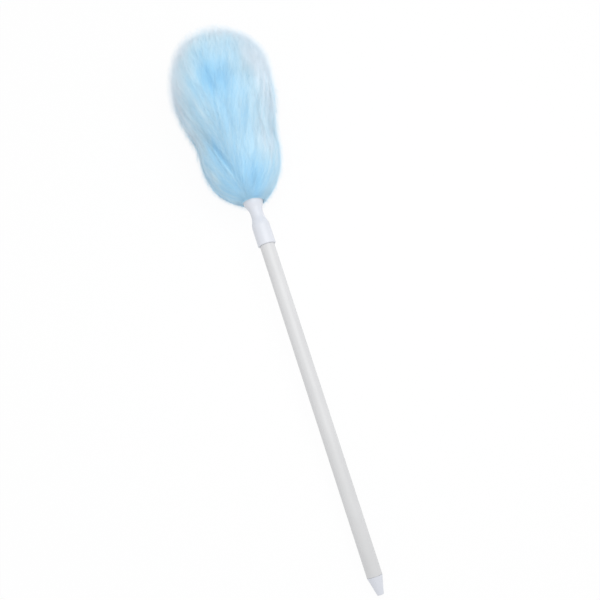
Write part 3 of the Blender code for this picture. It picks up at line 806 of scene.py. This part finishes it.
inside = np.array(
    [
        (wool_bore, rod_recess_top),
        (wool_bore, flare_recess_top),
        (flare_recess, flare_recess_top),
        (flare_recess, flare_recess_bottom),
    ]
)
inner = on_pole(inside[:, 1:], inside[:, :1] * np.cos(around), inside[:, :1] * np.sin(around))
closed_end = on_pole(np.array([rod_recess_top]), 0.0, 0.0)
points = np.vstack([inner.reshape(-1, 3), outside.reshape(-1, 3), closed_end, top])
ring_rows = len(inside) + rows
# Its colour is darkened by 0.91 as painted shade of the locks that lie over it.
undercoat = piece_from(
    "wool_undercoat",
    points,
    turned_faces(ring_rows, columns, False) + end_fans(ring_rows, columns),
    "extension",
    wool_finish("dense_blue_undercoat_painted_shade", sheen=0.3, bright=0.91),
    ["wool_pile", "end_tuft"],
)
fine_streaks = wave_sum(streak_waves, lock_at(share, angle), share)
# Lighter on the fine streaks' ridges and darker in their grooves, as painted light and shade.
surface = dye_and_light_at(share, angle) + fine_streak_light_and_shade * fine_streaks
whole_pale = np.full(len(points), surface.mean())
whole_pale[len(inside) * columns :][: surface.size] = surface.ravel()
give_paleness(undercoat.data, whole_pale)

# Locks: the long fibres over the undercoat, which lie in small locks. Those below the parting are
# combed down to the collar, and drift to the right on the left side and to the left on the other.
strand_wool = wool_finish("long_blue_wool", sheen=0.6, bright=1.0)
piece_triangles = 170000
flat_share, end_share, point_share = 0.35, 0.50, 3
fringe_low, fringe_more, fringe_side = 0.0065, 0.0030, 0.0005
root_gap, root_least, narrowest_lock = 0.020, 0.010, 0.022
lowest_share, foot_scatter_share, farthest_share = 0.004, 0.012, 1.5
upward_follow, gather_share, sunk_share, parted_share = -0.3, 0.6, 0.35, 0.6
stand_most, stand_curve, taper_curve, root_pale_share = 1.2, 1.3, 1.5, 0.4

# How far locks stray from an even spread, and strands from their lock. Then a strand's curl, its
# height over the dense pile, how deep its root is sunk, and how far it stays off the table.
lock_root_spread, lock_angle_spread, parting_wave = 0.008, 0.05, 0.02
lock_tint_spread, lock_lift_spread, lock_drift_spread = 0.07, 0.0003, math.radians(5)
strand_length_range, strand_thickness_range = (0.75, 1.12), (0.75, 1.15)
strand_aside_spread, strand_along_spread, strand_tint_spread = 0.0030, 0.0060, 0.06
curl_low, curl_high, curl_more = 0.0002, 0.0010, 0.00008
lift_middle, lift_spread, root_sink = 0.0002, 0.0002, 0.0030
press_low, press_more = 0.0004, 0.0024


def fringe_at(share, angle):
    """How far the loose ends stand out of the dense pile: 6.5 mm near the collar and 9.5 mm on
    the upper third, with half a millimetre more on +Y and less on -Y."""
    rise = eased(rising(share, start=0.25, width=0.45))
    return fringe_low + fringe_more * rise + fringe_side * rise * np.sin(angle)


def strand_piece(name, paths, radii, pales, across, wool):
    """A piece of many flat tapered strands of three sides. Round each point of a path stand three
    points at 120 degrees: the first a radius away on the side that across gives, square to the
    path, and the others nearer in the direction in which the strand is thin. A last point closes
    the tip and one face closes the root."""
    count, rings = paths.shape[:2]
    along_path = np.gradient(paths, axis=1)
    along_path /= np.linalg.norm(along_path, axis=2, keepdims=True)
    side = across[:, None, :] - (across[:, None, :] * along_path).sum(2, keepdims=True) * along_path
    side /= np.linalg.norm(side, axis=2, keepdims=True)
    other = np.cross(along_path, side)
    turn = angles_round(3)[:, None]
    spread = side[:, :, None] * np.cos(turn) + flat_share * other[:, :, None] * np.sin(turn)
    rings_of = paths[:, :, None] + spread * radii[:, :, None, None]
    tips = paths[:, -1] + along_path[:, -1] * (radii[:, -1:] * point_share)
    points = np.concatenate([rings_of.reshape(count, -1, 3), tips[:, None]], axis=1)
    each = rings * 3 + 1
    ring, corner = np.meshgrid(np.arange(rings - 1) * 3, np.arange(3), indexing="ij")
    beside = (corner + 1) % 3
    quads = np.stack([ring + corner, ring + beside, ring + 3 + beside, ring + 3 + corner], axis=-1)
    quads = quads.reshape(-1, 4)
    end, tip = (rings - 1) * 3, each - 1
    fans = np.array([[end, end + 1, tip], [end + 1, end + 2, tip], [end + 2, end, tip], [0, 2, 1]])
    start = (np.arange(count) * each)[:, None]
    corners = np.concatenate([quads.ravel() + start, fans.ravel() + start], axis=1).ravel()
    sizes = np.tile(np.concatenate([np.full(len(quads), 4), np.full(len(fans), 3)]), count)
    starts = np.concatenate([[0], np.cumsum(sizes)[:-1]])
    mesh = bpy.data.meshes.new(name)
    mesh.vertices.add(count * each)
    mesh.vertices.foreach_set("co", points.astype(np.float32).ravel())
    mesh.loops.add(len(corners))
    mesh.loops.foreach_set("vertex_index", corners.astype(np.int32))
    mesh.polygons.add(len(sizes))
    mesh.polygons.foreach_set("loop_start", starts.astype(np.int32))
    mesh.update(calc_edges=True)
    mesh.shade_flat()
    give_paleness(mesh, np.concatenate([np.repeat(pales, 3, axis=1), pales[:, -1:]], axis=1))
    mesh.materials.append(wool)
    piece = put_in_scene(name, mesh)
    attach(piece, "extension")
    return piece


def rooted(rng, locks, low, high, way):
    """Where the locks grow: between two shares of the outline, spread evenly by the wool's radius
    less 20 mm, and round the head by the golden angle, all a little astray. Their edge at the
    parting waves three times round the head."""
    even = np.linspace(low, high, num=400)
    amount = np.cumsum(np.maximum(outline_at(even)[1] - root_gap, root_least))
    index = np.arange(locks)
    root = np.interp((index + 0.5) / locks, amount / amount[-1], even)
    root = root + rng.normal(0, lock_root_spread, locks)
    heading = index * math.pi * (3 - math.sqrt(5)) + rng.normal(0, lock_angle_spread, locks)
    waving = np.sin(3 * heading + 1.0) if way > 0 else -np.sin(3 * heading)
    return root + parting_wave * waving, heading


def combed(rng, locks, each, low, high, way, reach, stand, thickness, stray, rings, paler):
    """Strands in locks. A lock's strands start within several millimetres of its root, draw
    together towards the tip, and go way along the outline and sideways by the drift, or by 0.3 of
    it the other way where they go up, and stray from it by some degrees. A strand comes out of the
    dense pile in its first third, and its tip stands out by a share of the fringe, which is small
    for most and large for few. Up to 60 % of the strands are left out where the pile is parted."""
    root, heading = rooted(rng, locks, low, high, way)
    lock_tint = rng.normal(0, lock_tint_spread, locks)
    lock_lift = rng.normal(0, lock_lift_spread, locks)
    lock_drift = rng.normal(0, lock_drift_spread, locks)
    lock_reach = rng.uniform(*reach, locks)

    which = np.repeat(np.arange(locks), each)
    count = len(which)
    ring_share = np.linspace(0, 1, rings)
    drift = lock_drift[which] + rng.normal(0, math.radians(stray), count)
    length = lock_reach[which] * rng.uniform(*strand_length_range, count)
    sideways = rng.normal(0, strand_aside_spread, count)[:, None] * (1 - gather_share * ring_share)
    forward = rng.normal(0, strand_along_spread, count)[:, None]
    wave = rng.uniform(0, 2 * math.pi, count)[:, None] + 2 * math.pi * ring_share
    curl = np.sin(wave) * rng.uniform(curl_low, curl_high + curl_more * stray, count)[:, None]

    ahead = (forward + way * length[:, None] * ring_share) / outline_reach
    share = root[which][:, None] + ahead
    if way < 0:
        scatter = foot_scatter_share * rng.random(count)[:, None] * ring_share
        share = np.maximum(share, lowest_share + scatter)
    share = np.clip(share, lowest_share, farthest_share)
    around_radius = np.maximum(outline_at(folded(share))[1], narrowest_lock)
    follow, columns = 1.0 if way < 0 else upward_follow, [heading[which]]
    for ring in range(1, rings):
        sine = np.sin(follow * drift_at(columns[-1]) + drift)
        columns.append(columns[-1] + length * sine / (rings - 1) / around_radius[:, ring])
    angle = np.stack(columns, axis=1) + (sideways + curl) / around_radius

    sunk = root_sink * (1 - eased(rising(ring_share, start=0, width=sunk_share)))
    out = lock_lift[which][:, None] + rng.normal(lift_middle, lift_spread, count)[:, None] - sunk
    stands = np.minimum(rng.exponential(stand, count), stand_most)[:, None] * ring_share**stand_curve
    out = out + stands * fringe_at(folded(share), angle)
    press = press_low + press_more * rng.random(count)[:, None]
    paths = over_pile(share, angle, out, press)
    radii = thickness * rng.uniform(*strand_thickness_range, count)[:, None]
    radii = radii * (1 - end_share * ring_share**taper_curve)
    tint = lock_tint[which] + rng.normal(0, strand_tint_spread, count)
    # Tips are lighter than roots: partly the fibres' own pale ends, partly painted light that the fine
    # tips let through.
    paling = paler * (root_pale_share + (1 - root_pale_share) * ring_share)
    pales = dye_and_light_at(share, angle) + tint[:, None] + paling
    kept = rng.random(count) > parted_share * parting_at(share, angle).max(axis=1)
    paths, radii, pales, angle = paths[kept], radii[kept], pales[kept], angle[kept]
    across = on_pole(0.0, -np.sin(angle[:, 0]), np.cos(angle[:, 0]))
    return paths, radii, pales, across


def planted(name, wool, rng, paths, radii, pales, across):
    """Shares a set of strands out at random over as many pieces as it needs."""
    order = rng.permutation(len(paths))
    triangles = len(order) * (6 * paths.shape[1] - 2)
    groups = np.array_split(order, math.ceil(triangles / piece_triangles))
    for number, group in enumerate(groups, 1):
        strand_piece(f"{name}_{number}", paths[group], radii[group], pales[group], across[group], wool)


rng = np.random.default_rng(seed=7)
long_fibres = {"each": 9, "stand": 0.08, "thickness": 0.00014, "rings": 5, "paler": 0.04}
pile = combed(
    rng,
    locks=900,
    low=0.05,
    high=parting_share + 0.09,
    way=-1,
    reach=(0.045, 0.080),
    stray=2.5,
    **long_fibres,
)
planted("pile_locks", strand_wool, rng, *pile)

# End tuft: the locks above the parting, of the same long fibres. They are combed up, away from
# the collar, and lie over the end of the head.
tuft = combed(
    rng,
    locks=440,
    low=parting_share - 0.06,
    high=1.0,
    way=1,
    reach=(0.040, 0.070),
    stray=3.5,
    **long_fibres,
)
planted("tuft_locks", strand_wool, rng, *tuft)

# Loose ends: some 46,000 thin single fibres that stand out of the locks and make the soft, pale
# edge of the head. They stand out most on its upper third, and least near the collar.
fine_wool = wool_finish("fine_pale_wool_ends", sheen=0.6, bright=1.0)
# Their tips are lighter by up to 0.2, partly as painted light that the fine fibres let through at the
# head's edge.
loose_fibres = {"each": 1, "thickness": 0.0001, "stray": 22.0, "rings": 4, "paler": 0.20}
below = combed(
    rng,
    locks=20000,
    low=0.03,
    high=parting_share + 0.05,
    way=-1,
    reach=(0.018, 0.032),
    stand=0.60,
    **loose_fibres,
)
above = combed(
    rng,
    locks=27000,
    low=parting_share - 0.05,
    high=1.0,
    way=1,
    reach=(0.018, 0.034),
    stand=0.80,
    **loose_fibres,
)
planted("loose_ends", fine_wool, rng, *(np.concatenate(pair) for pair in zip(below, above)))

# Table: a plain white surface that the tube's lower rim and the wool rest on. It is near white to
# the camera and in reflections, and keeps the duster's soft shadow.
table_height = float(-tube_radius * pole_direction[0] + tip_length * pole_direction[2])
table_size, table_middle, table_glow = 8.0, 0.4, 0.95

table_white = bpy.data.materials.new("table_white")
table_white.use_nodes = True
tree = table_white.node_tree
shader = tree.nodes["Principled BSDF"]
shader.inputs["Base Color"].default_value = (0.93, 0.93, 0.94, 1)
shader.inputs["Roughness"].default_value = 0.9
rays = node_in(tree, "ShaderNodeLightPath").outputs
seen = rays["Is Camera Ray"]
for ray in ("Is Glossy Ray", "Is Transmission Ray"):
    larger = node_in(tree, "ShaderNodeMath", seen, rays[ray], settings={"operation": "MAXIMUM"})
    seen = larger.outputs[0]
glowing = node_in(tree, "ShaderNodeMath", seen, table_glow, settings={"operation": "MULTIPLY"})
glow = node_in(tree, "ShaderNodeEmission", Strength=1.0)
both = node_in(tree, "ShaderNodeMixShader", glowing.outputs[0], shader.outputs[0], glow.outputs[0])
tree.links.new(both.outputs[0], tree.nodes["Material Output"].inputs["Surface"])

half = table_size / 2
mesh = bpy.data.meshes.new("table_top")
square = ((-half, -half), (half, -half), (half, half), (-half, half))
mesh.from_pydata([(x + table_middle, y, table_height) for x, y in square], [], [(0, 1, 2, 3)])
mesh.materials.append(table_white)
table_top = put_in_scene("table_top", mesh)

# Studio light: an even white room, and one large soft lamp above the head on its right. The room
# is plain white to the camera, whatever light it gives.
room_light, lamp_size, lamp_power = 0.80, 0.7, 2.75
lamp_place, lamp_aim = np.array([0.52, -0.25, 0.76]), np.array([0.56, 0.0, 0.05])

room = bpy.data.worlds.new("white_room")
bpy.context.scene.world = room
room.use_nodes = True
tree = room.node_tree
lit = tree.nodes["Background"]
lit.inputs["Color"].default_value = (1, 1, 1, 1)
lit.inputs["Strength"].default_value = room_light
shown = node_in(tree, "ShaderNodeBackground", Color=(1, 1, 1, 1), Strength=1.0)
seen = node_in(tree, "ShaderNodeLightPath").outputs["Is Camera Ray"]
both = node_in(tree, "ShaderNodeMixShader", seen, lit.outputs[0], shown.outputs[0])
tree.links.new(both.outputs[0], tree.nodes["World Output"].inputs["Surface"])

lamp = bpy.data.lights.new("soft_lamp", "AREA")
lamp.size = lamp_size
lamp.energy = lamp_power
soft_lamp = put_in_scene("soft_lamp", lamp)
soft_lamp.location = lamp_place
soft_lamp.rotation_euler = Vector(lamp_aim - lamp_place).to_track_quat("-Z", "Y").to_euler()

# Camera: a 50 mm lens on a frame 36 mm wide, above the handle. It looks down and towards the head,
# and is turned so that the pole leans.
camera_place = (0.0783843, -0.0208106, 1.1957002)
camera_tilt, camera_roll = math.radians(16.364), math.radians(18.199)
back = np.array([-math.sin(camera_tilt), 0.0, math.cos(camera_tilt)])
upright = np.array([math.cos(camera_tilt), 0.0, math.sin(camera_tilt)])
level = np.array([0.0, -1.0, 0.0])
right = math.cos(camera_roll) * level - math.sin(camera_roll) * upright
above = math.cos(camera_roll) * upright + math.sin(camera_roll) * level
lens = bpy.data.cameras.new("camera")
lens.lens, lens.sensor_width = 50.0, 36.0
camera = put_in_scene("camera", lens)
turn = Matrix(np.stack([right, above, back], axis=1).tolist()).to_4x4()
camera.matrix_world = Matrix.Translation(camera_place) @ turn
bpy.context.scene.camera = camera
bpy.context.scene.view_settings.view_transform = "Standard"
